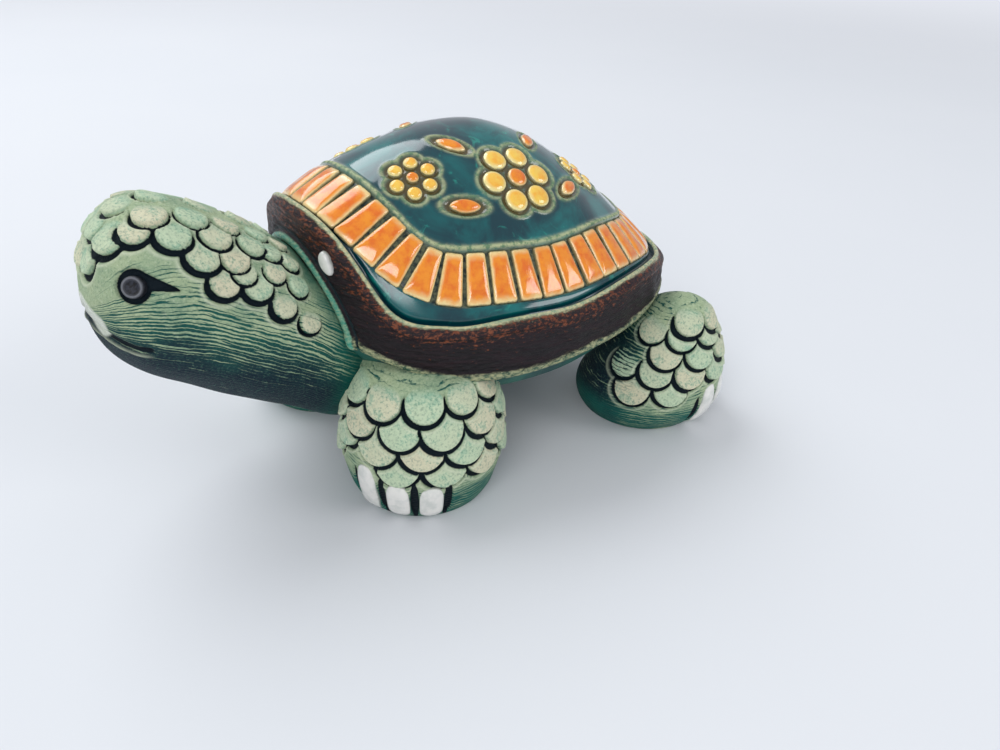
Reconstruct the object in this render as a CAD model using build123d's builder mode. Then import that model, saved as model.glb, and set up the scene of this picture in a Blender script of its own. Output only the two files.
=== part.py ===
from build123d import *
import os
from math import cos, radians, sin, tan

os.makedirs("parts", exist_ok=True)

# A hand-built ceramic turtle. The head looks along -Y and the feet stand on Z = 0.
# Every piece of clay is shaped by itself and luted to its neighbours with slip.

# Shell seen from above: an oval that is a little squarer than an ellipse
shell_half_width = 38.0
shell_half_length = 42.5
shell_centre_y = 15.3
side_arc_radius = 58.0
end_arc_radius = 47.0
corner_radius = 22.0

# Shell seen from the side
rim_height = 39.0
crown_height = 68.5
wall = 5.0

# Ridge line of the dome and its fall to the sides, at stations from front to rear
station_shares = (-1.08, -0.93, -0.81, -0.62, -0.43, -0.09, 0.27, 0.61, 0.89, 1.13)
ridge_shares = (0.56, 0.68, 0.77, 0.873, 0.945, 1.0, 0.865, 0.53, 0.15, -0.28)
fall_shares = (4.0, 3.4, 2.1, 1.26, 1.07, 0.99, 0.85, 0.68, 0.53, 0.42)
round_shares = (0.2, 0.3, 0.55, 1.0, 1.12, 1.12, 1.12, 1.12, 1.12, 1.12)
reach_shares = (0.6, 0.7, 0.85, 1.0, 1.15, 1.15, 1.15, 1.15, 1.15, 1.15)
across_shares = (-1.0, -0.71, -0.365, 0.0, 0.365, 0.71, 1.0)

# Line under the rim where the shell meets the belly plate, seen from the side
seam_height = 30.0
seam_station_shares = (-1.3, -0.93, -0.71, -0.43, -0.05, 0.35, 0.75, 1.3)
seam_rise_shares = (1.16, 1.12, 1.0, 0.95, 0.99, 1.02, 1.06, 1.10)

# Rim band: a ribbon of clay wrapped round the foot of the shell
band_foot = 2.8
band_head = 1.3
band_ledge = 1.0

# Belly plate
belly_bottom = 21.0
belly_lip = 3.2
belly_inset = 6.5
belly_floor = 4.5
vent_radius = 5.0

# Coloured glaze cells, laid in shallow beds
glaze_bed = 0.7
glaze_crown = 0.5
cell_gap = 0.9

# Border of glaze tiles round the shell
tile_count = 46
tile_length = 10.4
border_inset = 5.2
border_steps = 184

# Flowers on the field of the shell: places on the left half, mirrored to the right
flower_places = ((18.5, 13.0), (11.5, -7.5), (13.5, 34.0))
flower_sizes = (8.6, 5.6, 5.6)
petal_count = 6
petal_share = 0.34
heart_share = 0.30

# Leaves between the flowers
leaf_places = ((20.0, -1.0), (8.5, 3.5), (20.5, 25.5), (8.5, 23.5))
leaf_turns = (62.0, 35.0, -58.0, -35.0)
leaf_length = 6.4
leaf_width = 3.0

# Oval inlay on the band, beside the neck
inlay_length = 4.8
inlay_width = 3.0
inlay_depth = 0.9
inlay_proud = 0.4
inlay_x = 12.6
inlay_z = 49.8
inlay_lean = 28.0

# Head and neck, as oval slices from the nose back to the chest
head_half_width = 18.0
head_half_height = 19.6
head_slices_y = (-67.5, -66.6, -63.0, -55.0, -45.0, -35.0, -27.0, -19.0, -11.0, -6.0)
head_slices_z = (46.6, 46.7, 47.3, 46.3, 41.2, 35.1, 28.9, 25.4, 23.6, 22.6)
head_height_shares = (0.08, 0.32, 0.66, 0.92, 1.0, 1.0, 0.96, 0.84, 0.58, 0.26)
head_width_shares = (0.10, 0.38, 0.75, 0.92, 0.99, 1.0, 0.98, 0.88, 0.60, 0.30)

# Scales: overlapping discs of clay, each tipped out at its lower edge
scale_tip = 9.0
scale_bed = 2.2
scale_proud = 0.2
head_core_share = 0.7
head_scale_rake_share = 0.45
head_scale_radius = 3.9
head_scale_places = (
    (4.9, -62.1, 60.5), (7.6, -58.5, 61.8), (10.5, -52.6, 60.9), (13.2, -49.1, 57.3), (15.7, -47.1, 52.4),
    (15.5, -41.4, 50.1), (16.6, -37.6, 45.5), (6.1, -55.0, 63.4), (6.0, -48.2, 61.7), (9.5, -45.7, 58.8),
    (12.7, -43.7, 55.2), (9.0, -39.5, 55.6), (13.0, -37.2, 51.0), (5.5, -42.5, 58.7),
)
crown_scale_places = (
    (0.0, -62.4, 60.8), (0.0, -58.4, 63.5), (0.0, -52.3, 64.1), (0.0, -44.7, 60.6), (0.0, -38.0, 56.5),
)
leg_scale_columns = 11
leg_scale_share = 0.285
front_scale_heights = (14.2, 18.8, 23.2, 27.2)
rear_scale_heights = (13.8, 18.4, 22.8, 26.6, 29.6)
rear_bare_share = -0.25

# Eyes: a round stud of clay pressed into a socket
eye_y = -61.7
eye_z = 54.0
eye_radius = 2.1
eye_proud = 0.7
eye_depth = 2.4
socket_margin = 0.8
socket_depth = 0.9

# Mouth line, cut into the front of the head
mouth_front_z = 44.9
mouth_corner_y = -60.8
mouth_corner_z = 42.2
mouth_gape = 0.9
mouth_depth = 1.4

# Front legs
front_leg_x = 23.1
front_leg_y = -14.1
front_leg_lean_share = 0.03
front_leg_heights = (0.0, 1.3, 4.5, 10.5, 17.0, 23.0, 28.0, 31.0, 32.5)
front_leg_radii = (13.6, 14.9, 16.3, 17.3, 17.0, 15.6, 12.9, 9.2, 3.0)
front_toe_turn = -51.0

# Rear legs, which swell outwards beside the shell
rear_leg_x = 28.9
rear_leg_y = 47.9
rear_leg_lean_share = 0.28
rear_leg_heights = (0.0, 1.3, 4.5, 10.0, 17.0, 23.5, 28.5, 31.6, 33.0)
rear_leg_radii = (14.2, 15.6, 17.4, 17.2, 14.9, 11.7, 8.4, 5.2, 1.6)
rear_toe_turn = 30.0

# Claws: white glaze on the toes, parted by slots
claw_count = 3
claw_step = 24.0
claw_gap = 1.4
claw_height = 9.0
claw_foot = 0.6
claw_bed = 1.0
claw_proud = 0.3

# Tail
tail_root_y = 51.0
tail_tip_y = 67.5
tail_root_z = 27.0
tail_tip_z = 17.5
tail_root_radius = 6.6
tail_tip_radius = 2.4

overrun = 12.0


def oval_block(bottom, top, grow=0.0, top_grow=None):
    """A block with the shell's outline, let out by grow. Its wall leans where top_grow differs."""
    lets = (grow, grow if top_grow is None else top_grow)
    side_shift = side_arc_radius - shell_half_width
    end_shift = end_arc_radius - shell_half_length
    with BuildPart() as block:
        for height, let in zip((bottom, top), lets):
            with BuildSketch(Plane.XY.offset(height)):
                with Locations((side_shift, shell_centre_y)):
                    Circle(side_arc_radius + let)
                with Locations((-side_shift, shell_centre_y)):
                    Circle(side_arc_radius + let, mode=Mode.INTERSECT)
                for centre_y in (shell_centre_y - end_shift, shell_centre_y + end_shift):
                    with Locations((0, centre_y)):
                        Circle(end_arc_radius + let, mode=Mode.INTERSECT)
                fillet(vertices(), corner_radius + let)
        loft(ruled=True)
    return block.part


def fall_across(share, round_share):
    """Fall of the dome from its ridge line: 0 on the ridge, 1 at the shell's half width. A low round
    share gives a flat top with steep flanks."""
    return round_share * share ** 2 + (1 - round_share) * share ** 4


def station(share):
    return shell_centre_y + shell_half_length * share


# Everything below the dome's surface: arches across the shell, lofted from front to rear
rise = crown_height - rim_height
with BuildPart() as dome_block:
    arches = zip(station_shares, ridge_shares, fall_shares, round_shares, reach_shares)
    for place, ridge, fall, round_share, reach in arches:
        arch = []
        for across in across_shares:
            drop = fall * fall_across(across * reach, round_share)
            arch.append((shell_half_width * across * reach, rim_height + rise * (ridge - drop)))
        right, left = arch[0][0], arch[-1][0]
        with BuildSketch(Plane.XZ.offset(-station(place))):
            with BuildLine():
                Spline(*arch)
                Polyline(arch[-1], (left, -crown_height), (right, -crown_height), arch[0])
            make_face()
    loft()

# Everything below the seam between shell and belly plate
with BuildPart() as below_seam:
    with BuildSketch(Plane.YZ):
        with BuildLine():
            seam = []
            for place, share in zip(seam_station_shares, seam_rise_shares):
                seam.append((station(place), seam_height * share))
            Spline(*seam)
            Polyline(seam[-1], (seam[-1][0], -overrun), (seam[0][0], -overrun), seam[0])
        make_face()
    extrude(amount=shell_half_width + overrun, both=True)

oval_top = crown_height + overrun
shell_block = oval_block(belly_bottom, oval_top)
cavity_block = oval_block(belly_bottom + belly_floor, oval_top, grow=-wall)


# Head and neck: one lofted piece of clay, with sockets for the eyes and a mouth line
def head_block(shrink=0.0):
    with BuildPart() as block:
        slices = zip(head_slices_y, head_slices_z, head_height_shares, head_width_shares)
        for slice_y, slice_z, height_share, width_share in slices:
            half_width = (head_half_width - shrink) * width_share
            half_height = (head_half_height - shrink) * height_share
            with BuildSketch(Plane.XZ.offset(-slice_y)):
                with Locations((0, slice_z)):
                    Ellipse(half_width, half_height)
        loft()
    return block.part


def scale_discs(places):
    """Scales from their centre, outward direction, downward direction and radius."""
    with BuildPart() as discs:
        for centre, outward, down, radius in places:
            tip = radians(scale_tip)
            tipped = outward * cos(tip) - down * sin(tip)
            with Locations(Plane(origin=centre, x_dir=outward.cross(down), z_dir=tipped).offset(-scale_bed)):
                Cylinder(radius, scale_bed + scale_proud, align=standing)
    return discs.part


standing = (Align.CENTER, Align.CENTER, Align.MIN)
head_form = head_block()
sight_line = Axis((shell_half_width, eye_y, eye_z), (-1, 0, 0))
head_skin = head_form.faces().sort_by(SortBy.AREA)[-1]
eye_point, eye_normal = max(head_skin.find_intersection_points(sight_line), key=lambda hit: hit[0].X)
outward = eye_normal if eye_normal.X > 0 else -eye_normal
eye_planes = {}
for side_name, side in (("left", 1), ("right", -1)):
    point = (eye_point.X * side, eye_point.Y, eye_point.Z)
    normal = (outward.X * side, outward.Y, outward.Z)
    eye_planes[side_name] = Plane(origin=point, x_dir=(0, 0, 1), z_dir=normal)

with BuildPart() as mouth_cut:
    with BuildSketch(Plane.YZ):
        with BuildLine():
            lip_front = (head_slices_y[0] - overrun, mouth_front_z)
            lip_turn = (head_slices_y[1], mouth_front_z)
            lip_corner = (mouth_corner_y, mouth_corner_z)
            Polyline(lip_front, lip_turn, lip_corner)
            offset(amount=mouth_gape / 2, side=Side.BOTH)
        make_face()
    extrude(amount=shell_half_width, both=True)
    add(head_block(mouth_depth), mode=Mode.SUBTRACT)

# The scales lie on the crown and the neck, and hang down and forwards from the middle line. Those of
# the left side and the middle are placed here, and the right side mirrors them.
head_scales = []
for x, y, z in head_scale_places + crown_scale_places:
    middle_z = head_slices_z[-1] + (z - head_slices_z[-1]) * head_core_share
    spoke = Vector(x, 0, z - middle_z)
    ray = Axis((0, y, middle_z), spoke)
    hits = [hit for face in head_form.faces() for hit in face.find_intersection_points(ray)]
    centre, normal = max(hits, key=lambda hit: (hit[0] - Vector(0, y, middle_z)).dot(spoke))
    outward_here = normal if normal.dot(spoke) > 0 else -normal
    hang = Vector(1, -head_scale_rake_share, -1) if x else Vector(0, -1, 0)
    down = (hang - outward_here * outward_here.dot(hang)).normalized()
    head_scales.append((centre, outward_here, down, head_scale_radius))
left_scales = scale_discs(head_scales)

with BuildPart() as head_and_neck:
    add(head_form)
    add(left_scales)
    add(left_scales.mirror(Plane.YZ))
    for plane in eye_planes.values():
        with Locations(plane.offset(-socket_depth)):
            Cylinder(eye_radius + socket_margin, overrun, align=standing, mode=Mode.SUBTRACT)
        with Locations(plane.offset(-eye_depth)):
            Cylinder(eye_radius, overrun, align=standing, mode=Mode.SUBTRACT)
    add(mouth_cut.part, mode=Mode.SUBTRACT)
head_and_neck.part.label = "head_and_neck"
export_step(head_and_neck.part, "parts/head_and_neck.step")

for side_name, plane in eye_planes.items():
    with BuildPart(plane.offset(-eye_depth)) as eye:
        Cylinder(eye_radius, eye_depth + eye_proud, align=standing)
        fillet(eye.edges().sort_by(Axis(plane.origin, plane.z_dir))[-1], eye_proud)
    eye.part.label = side_name + "_eye"
    export_step(eye.part, "parts/" + side_name + "_eye.step")

# Glaze cells: each is a flat-topped prism that lies square to the dome in its bed
dome_skin = dome_block.faces().sort_by(Axis.Z)[-1]


def dome_hit(x, y):
    """The point of the dome above a place, and the direction square to the dome there."""
    hits = dome_skin.find_intersection_points(Axis((x, y, 0), (0, 0, 1)))
    point, normal = max(hits, key=lambda hit: hit[0].Z)
    return point, normal if normal.Z > 0 else -normal


def dome_plane(x, y, x_dir):
    """The plane that touches the dome above a point, with its x direction as near x_dir as it can be."""
    point, normal = dome_hit(x, y)
    along = Vector(x_dir) - normal * normal.dot(Vector(x_dir))
    return Plane(origin=point, x_dir=along, z_dir=normal).offset(-glaze_bed)


glaze_depth = glaze_bed + glaze_crown
border_top = oval_block(belly_bottom, oval_top, grow=-border_inset).faces().sort_by(Axis.Z)[-1]
border_line = border_top.outer_wire()

# The border line on the slope of the dome, in short steps, so that all tiles are equally wide
border_points = []
for step in range(border_steps + 1):
    spot = border_line.position_at(step / border_steps)
    border_points.append(dome_hit(spot.X, spot.Y)[0])
border_lengths = [0.0]
for start, end in zip(border_points, border_points[1:]):
    border_lengths.append(border_lengths[-1] + (end - start).length)

tile_pitch = border_lengths[-1] / tile_count
tile_width = tile_pitch - cell_gap
tile_spots = []
tile_runs = []
for number in range(tile_count):
    ahead = next(step for step, length in enumerate(border_lengths) if length > number * tile_pitch)
    along = (border_points[ahead] - border_points[ahead - 1]).normalized()
    tile_spots.append(border_points[ahead - 1] + along * (number * tile_pitch - border_lengths[ahead - 1]))
    tile_runs.append(along)

# A tile is a wedge, and where the border turns more sharply it narrows more
with BuildPart() as border_tiles:
    for number, (spot, along) in enumerate(zip(tile_spots, tile_runs)):
        before, after = tile_runs[number - 1], tile_runs[(number + 1) % tile_count]
        half_turn = Vector(before.X, before.Y, 0).get_angle(Vector(after.X, after.Y, 0)) / 4
        half_narrowing = tile_length * sin(radians(half_turn)) / 2
        with BuildSketch(dome_plane(spot.X, spot.Y, along)):
            half_out = tile_width / 2 + half_narrowing
            half_in = tile_width / 2 - half_narrowing
            Polygon((-half_out, -tile_length / 2), (half_out, -tile_length / 2),
                    (half_in, tile_length / 2), (-half_in, tile_length / 2), align=None)
        extrude(amount=glaze_depth)

with BuildPart() as flower_petals:
    for side in (1, -1):
        for (x, y), size in zip(flower_places, flower_sizes):
            with BuildSketch(dome_plane(x * side, y, (1, 0, 0))):
                with PolarLocations(size * (1 - petal_share), petal_count, start_angle=90):
                    Circle(size * petal_share - cell_gap / 2)
            extrude(amount=glaze_depth)

with BuildPart() as flower_hearts:
    for side in (1, -1):
        for (x, y), size in zip(flower_places, flower_sizes):
            with BuildSketch(dome_plane(x * side, y, (1, 0, 0))):
                Circle(size * heart_share - cell_gap / 2)
            extrude(amount=glaze_depth)

with BuildPart() as leaves:
    for side in (1, -1):
        for (x, y), turn in zip(leaf_places, leaf_turns):
            with BuildSketch(dome_plane(x * side, y, (cos(radians(turn)), side * sin(radians(turn)), 0))):
                Ellipse(leaf_length / 2, leaf_width / 2)
            extrude(amount=glaze_depth)

# Shell: the glazed dome, hollow as fired clay has to be, with a bed for each glaze cell
with BuildPart() as carapace:
    add(shell_block)
    add(dome_block.part, mode=Mode.INTERSECT)
    with BuildPart(mode=Mode.PRIVATE) as cavity:
        add(cavity_block)
        with Locations((0, 0, -wall)):
            add(dome_block.part, mode=Mode.INTERSECT)
    add(cavity.part, mode=Mode.SUBTRACT)
    add(below_seam.part, mode=Mode.SUBTRACT)
    add(head_form, mode=Mode.SUBTRACT)
    for cells in (border_tiles, flower_petals, flower_hearts, leaves):
        add(cells.part, mode=Mode.SUBTRACT)

# Rim band
with BuildPart() as shell_rim:
    add(oval_block(belly_bottom, oval_top, grow=band_foot, top_grow=band_head))
    with Locations((0, 0, band_ledge)):
        add(dome_block.part, mode=Mode.INTERSECT)
    add(shell_block, mode=Mode.SUBTRACT)
    add(below_seam.part, mode=Mode.SUBTRACT)
    add(head_form, mode=Mode.SUBTRACT)

# Oval inlay: a drop of white slip pressed into the band
with BuildPart() as rim_inlay:
    sight_line = Axis((inlay_x, -shell_half_length, inlay_z), (0, 1, 0))
    hits = [hit for face in shell_rim.faces() for hit in face.find_intersection_points(sight_line)]
    spot, outward = min(hits, key=lambda hit: hit[0].Y)
    outward = outward if outward.Y < 0 else -outward
    lean = radians(inlay_lean)
    bed_plane = Plane(origin=spot, x_dir=(sin(lean), 0, -cos(lean)), z_dir=outward).offset(-inlay_depth)
    with BuildSketch(bed_plane):
        Ellipse(inlay_length / 2, inlay_width / 2)
    extrude(amount=inlay_depth + inlay_proud)
with shell_rim:
    add(rim_inlay.part, mode=Mode.SUBTRACT)

# Belly plate
with BuildPart() as plastron:
    belly_top = seam_height * max(seam_rise_shares)
    add(oval_block(belly_bottom, belly_top, grow=-belly_inset, top_grow=belly_lip))
    add(below_seam.part, mode=Mode.INTERSECT)
    add(cavity_block, mode=Mode.SUBTRACT)
    add(head_form, mode=Mode.SUBTRACT)
    with Locations((0, shell_centre_y, belly_bottom)):
        Cylinder(vent_radius, overrun, mode=Mode.SUBTRACT)


def leg_block(x, y, lean, heights, radii, grow=0.0):
    """A leg as round slices that lean away from the middle as they rise."""
    with BuildPart() as block:
        for height, radius in zip(heights, radii):
            with BuildSketch(Plane.XY.offset(height)):
                with Locations((x + lean * height, y)):
                    Circle(radius + grow)
        loft()
    return block.part


def leg_scales(x, y, lean, heights, radii, toe_turn, rows, bare_share):
    """Rows of scales round a leg, each row shifted by half a scale. The side away from the toes may stay bare."""
    places = []
    for row, height in enumerate(rows):
        above = next(number for number, level in enumerate(heights) if level > height)
        run = heights[above] - heights[above - 1]
        slope = (radii[above] - radii[above - 1]) / run
        radius = radii[above - 1] + slope * (height - heights[above - 1])
        for column in range(leg_scale_columns):
            turn = 360 / leg_scale_columns * (column + (row % 2) / 2)
            if cos(radians(turn)) < bare_share:
                continue
            out = Vector(cos(radians(toe_turn + turn)), sin(radians(toe_turn + turn)), 0)
            down = (Vector(0, 0, -1) - out * slope - Vector(lean, 0, 0)).normalized()
            centre = Vector(x + lean * height, y, height) + out * radius
            outward_here = (out - down * out.dot(down)).normalized()
            places.append((centre, outward_here, down, radius * leg_scale_share))
    return places


def main_solid(piece):
    """The piece without the crumbs that its seats cut off."""
    return piece.solids().sort_by(SortBy.VOLUME)[-1]


leg_sizes = {
    "front": (front_leg_x, front_leg_y, front_leg_lean_share, front_leg_heights, front_leg_radii),
    "rear": (rear_leg_x, rear_leg_y, rear_leg_lean_share, rear_leg_heights, rear_leg_radii),
}
toe_turns = {"front": front_toe_turn, "rear": rear_toe_turn}
scale_rows = {"front": (front_scale_heights, -1), "rear": (rear_scale_heights, rear_bare_share)}
pieces = {
    "carapace": carapace,
    "shell_rim": shell_rim,
    "rim_inlay": rim_inlay,
    "plastron": plastron,
    "border_tiles": border_tiles,
    "flower_petals": flower_petals,
    "flower_hearts": flower_hearts,
    "leaves": leaves,
}
for end, sizes in leg_sizes.items():
    x, y = sizes[:2]
    reach = max(sizes[4]) + overrun
    spread = tan(radians(claw_step) / 2 - claw_gap / 2 / max(sizes[4]))
    with BuildPart() as claws:
        with BuildSketch(Plane.XY.offset(claw_foot)):
            for number in range(claw_count):
                turn = toe_turns[end] + claw_step * (number - (claw_count - 1) / 2)
                with Locations(Location((x, y), turn)):
                    Polygon((0, 0), (reach, -reach * spread), (reach, reach * spread), align=None)
        extrude(amount=claw_height - claw_foot)
        add(leg_block(*sizes, grow=claw_proud), mode=Mode.INTERSECT)
        add(leg_block(*sizes, grow=-claw_bed), mode=Mode.SUBTRACT)
    with BuildPart() as leg:
        add(leg_block(*sizes))
        add(scale_discs(leg_scales(*sizes, toe_turns[end], *scale_rows[end])))
        for seat in (plastron.part, shell_rim.part, carapace.part, head_form):
            add(seat, mode=Mode.SUBTRACT)
        add(claws.part, mode=Mode.SUBTRACT)
    for side_name, side in (("left", 1), ("right", -1)):
        for kind, maker in (("leg", main_solid(leg)), ("claws", claws.part)):
            with BuildPart() as piece:
                add(maker)
                if side < 0:
                    mirror(about=Plane.YZ, mode=Mode.REPLACE)
            pieces[end + "_" + side_name + "_" + kind] = piece

# Tail: a short tapered stub under the rear of the rim
tail_root = Vector(0, tail_root_y, tail_root_z)
tail_end = Vector(0, tail_tip_y - tail_tip_radius, tail_tip_z)
tail_run = tail_end - tail_root
with BuildPart() as tail:
    with Locations(Plane(origin=tail_root, z_dir=tail_run)):
        Cone(tail_root_radius, tail_tip_radius, tail_run.length, align=standing)
    with Locations(tail_end):
        Sphere(tail_tip_radius)
    for seat in (plastron.part, shell_rim.part, carapace.part):
        add(seat, mode=Mode.SUBTRACT)
with BuildPart() as tail_stub:
    add(main_solid(tail))
pieces["tail"] = tail_stub

for name, piece in pieces.items():
    piece.part.label = name
    export_step(piece.part, "parts/" + name + ".step")
    print(name, len(piece.part.solids()), round(piece.part.volume))
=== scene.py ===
"""A hand-built ceramic turtle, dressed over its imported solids.

Lengths are in metres. The head looks along -Y, the feet stand on Z = 0 and the left side is +X.
"""

import bpy
import numpy as np
from math import cos, pi, radians, sin
from mathutils import Matrix, Vector


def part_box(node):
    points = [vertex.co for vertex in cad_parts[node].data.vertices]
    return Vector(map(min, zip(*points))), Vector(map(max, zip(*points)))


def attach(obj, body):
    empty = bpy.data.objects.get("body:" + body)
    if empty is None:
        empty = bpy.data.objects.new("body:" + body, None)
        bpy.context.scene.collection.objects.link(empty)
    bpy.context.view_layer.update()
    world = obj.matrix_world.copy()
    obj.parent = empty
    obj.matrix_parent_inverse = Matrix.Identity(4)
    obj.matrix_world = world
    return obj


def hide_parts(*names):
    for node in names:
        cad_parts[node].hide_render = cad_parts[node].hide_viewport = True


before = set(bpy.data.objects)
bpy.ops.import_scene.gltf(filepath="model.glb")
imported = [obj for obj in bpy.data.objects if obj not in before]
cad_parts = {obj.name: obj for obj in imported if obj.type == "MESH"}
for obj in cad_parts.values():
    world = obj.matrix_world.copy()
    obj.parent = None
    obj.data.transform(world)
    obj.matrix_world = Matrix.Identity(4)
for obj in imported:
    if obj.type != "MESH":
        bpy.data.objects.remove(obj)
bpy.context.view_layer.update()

MM = 0.001
rng = np.random.default_rng(7)

# Shell seen from above: an oval of four arcs with rounded corners
half_width = 38.0 * MM
half_length = 42.5 * MM
shell_y = 15.3 * MM
side_arc = 58.0 * MM
end_arc = 47.0 * MM
corner_arc = 22.0 * MM

# Shell seen from the side, at stations from front to rear
rim_z = 39.0 * MM
crown_z = 68.5 * MM
stations = (-1.08, -0.93, -0.81, -0.62, -0.43, -0.09, 0.27, 0.61, 0.89, 1.13)
ridge_shares = (0.56, 0.68, 0.77, 0.873, 0.945, 1.0, 0.865, 0.53, 0.15, -0.28)
fall_shares = (4.0, 3.4, 2.1, 1.26, 1.07, 0.99, 0.85, 0.68, 0.53, 0.42)
round_shares = (0.2, 0.3, 0.55, 1.0, 1.12, 1.12, 1.12, 1.12, 1.12, 1.12)
seam_z = 30.0 * MM
seam_stations = (-1.3, -0.93, -0.71, -0.43, -0.05, 0.35, 0.75, 1.3)
seam_shares = (1.16, 1.12, 1.0, 0.95, 0.99, 1.02, 1.06, 1.10)

# Rim band
band_foot = 2.8 * MM
band_head = 1.3 * MM
band_ledge = 1.0 * MM
band_low_z = 21.0 * MM
band_high_z = 80.5 * MM

# Glaze cells
glaze_crown = 0.5 * MM
cell_sink = 0.75 * MM
cell_gap = 0.9 * MM
tile_gap = 0.75 * MM
tile_count = 46
tile_length = 10.4 * MM
tile_corner = 0.55 * MM
tile_lean = 0.25 * MM
border_inset = 5.2 * MM
first_tile = (-25.89 * MM, 41.42 * MM)
flower_places = ((18.5, 13.0), (11.5, -7.5), (13.5, 34.0))
flower_sizes = (8.6, 5.6, 5.6)
petal_count = 6
petal_share = 0.34
heart_share = 0.30
leaf_places = ((20.0, -1.0), (8.5, 3.5), (20.5, 25.5), (8.5, 23.5))
leaf_turns = (62.0, 35.0, -58.0, -35.0)
leaf_length = 6.4 * MM
leaf_width = 3.0 * MM

# Head and neck, as oval slices from the nose to the chest
head_half_width = 18.0 * MM
head_half_height = 19.6 * MM
head_y = (-67.5, -66.6, -63.0, -55.0, -45.0, -35.0, -27.0, -19.0, -11.0)
head_z = (46.6, 46.7, 47.3, 46.3, 41.2, 35.1, 28.9, 25.4, 23.6)
head_heights = (0.08, 0.32, 0.66, 0.92, 1.0, 1.0, 0.96, 0.84, 0.58)
head_widths = (0.10, 0.38, 0.75, 0.92, 0.99, 1.0, 0.98, 0.88, 0.60)

# Legs as round slices, with the way their toes point
leg_sizes = {
    "front": dict(x=23.1, y=-14.1, lean=0.03, toes=-51.0,
                  heights=(0.0, 1.3, 4.5, 10.5, 17.0, 23.0, 28.0, 31.0, 32.5),
                  radii=(13.6, 14.9, 16.3, 17.3, 17.0, 15.6, 12.9, 9.2, 3.0),
                  scale_rows=(15.0, 19.2, 23.4, 27.6), columns=(11, 11, 11, 10), bare=-1.0,
                  left_off=(10,), claws=(13.0, 10.3, 10.1)),
    "rear": dict(x=28.9, y=47.9, lean=0.28, toes=30.0,
                 heights=(0.0, 1.3, 4.5, 10.0, 17.0, 23.5, 28.5, 31.6, 33.0),
                 radii=(14.2, 15.6, 17.4, 17.2, 14.9, 11.7, 8.4, 5.2, 1.6),
                 scale_rows=(13.8, 18.4, 22.8, 26.6, 29.8), columns=(11, 11, 9, 8, 6), bare=-0.45,
                 left_off=(10, 0, 1), claws=(13.3, 13.3, 12.8)),
}
claw_count = 3
claw_step = radians(24.0)
claw_foot = 0.6 * MM
slot_height = 11.0 * MM

# Relief in millimetres: raised where positive, cut where negative
dome_relief = dict(strip=-0.55, bead=0.42, channel=-0.7, groove=-0.5, halo=0.16, wobble=0.12)
head_relief = dict(base=-0.3, lift=0.85, gouge=-0.95, lip=0.25, socket=-0.95, brow=0.2, mouth=-0.75,
                   chin=0.3, beak=0.12, wobble=0.18)
leg_relief = dict(base=-0.35, lift=0.95, gouge=-0.9, lip=0.2, slots=-0.9, wobble=0.12)
tail_relief = dict(lift=0.25, gouge=-0.3)
band_relief = dict(collar=0.7, seam=-0.35, rough=0.16, drag=0.10)

# Camera: where the photograph was taken from
camera_place = (137.59 * MM, -86.37 * MM, 110.0 * MM)
camera_yaw = 50.89
camera_pitch = 31.85
camera_roll = -2.21
focal_pixels = 780.0
picture_width_pixels = 1000.0
sensor_width = 36.0

# Light of the room on the turtle, and the backdrop's own brightness in the picture
room_light = 0.5
backdrop_light = 0.86
backdrop_colour = (0.90, 0.93, 1.0)
floor_reach = 6.0
fade_reach = (0.35, 1.3)
lamp_aim = (0, 0, 0.035)


# Curves and small sums on arrays

def natural_spline(knots, values):
    """A smooth curve through the points, as a function."""
    knots, values = np.array(knots, float), np.array(values, float)
    steps = np.diff(knots)
    slopes = np.diff(values) / steps
    count = len(knots)
    system = np.eye(count)
    right = np.zeros(count)
    for i in range(1, count - 1):
        system[i, i - 1:i + 2] = steps[i - 1], 2 * (steps[i - 1] + steps[i]), steps[i]
        right[i] = 6 * (slopes[i] - slopes[i - 1])
    bends = np.linalg.solve(system, right)

    def curve(place):
        place = np.clip(place, knots[0], knots[-1])
        i = np.clip(np.searchsorted(knots, place) - 1, 0, count - 2)
        before, after, step = place - knots[i], knots[i + 1] - place, steps[i]
        straight = values[i] * after / step + values[i + 1] * before / step
        low = bends[i] * (after ** 3 / step - step * after) / 6
        high = bends[i + 1] * (before ** 3 / step - step * before) / 6
        return straight + low + high

    return curve


def smooth(value, low, high):
    """0 below low, 1 above high, and an even turn between."""
    share = np.clip((value - low) / (high - low), 0, 1)
    return share * share * (3 - 2 * share)


def bell(value, width):
    """1 at zero and next to nothing two widths away. A name in _bell holds its place and its width."""
    return np.exp(-(value / width) ** 2)


def unit(vectors):
    return vectors / np.linalg.norm(vectors, axis=-1, keepdims=True)


def bent(value, power):
    """A number from -1 to 1 raised to a power, with its sign kept."""
    return np.sign(value) * np.abs(value) ** power


def full_turn(count):
    """Directions at equal steps round a full turn."""
    return np.linspace(0, 2 * pi, count, endpoint=False)


def swing_from(turn, middle):
    """The turn away from a middle direction, from -pi to pi."""
    return np.mod(turn - middle + pi, 2 * pi) - pi


def lengths_along(points):
    """Length from the first point to each point, along the first axis."""
    steps = np.linalg.norm(np.diff(points, axis=0), axis=-1)
    return np.concatenate([np.zeros_like(steps[:1]), np.cumsum(steps, axis=0)])


def set_out(centre, axes, *steps):
    """Points that lie steps away from a centre along three axes."""
    return centre + np.stack(np.broadcast_arrays(*steps), axis=-1) @ np.array(axes)


def relief(sizes, **masks):
    """How far a surface is raised, from masks and their heights in millimetres."""
    return sum(sizes[key] * MM * mask for key, mask in masks.items())


def ripple(points, size, seed):
    """Slow waves in three dimensions, from -1 to 1: the unevenness of clay shaped by hand."""
    waves = np.random.default_rng(seed)
    total = np.zeros(points.shape[:-1])
    for _ in range(6):
        direction = unit(waves.normal(size=3)) * waves.uniform(0.7, 1.5) / size
        total += np.sin(points @ direction * 2 * pi + waves.uniform(0, 2 * pi))
    return total / 3


# Meshes

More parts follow.
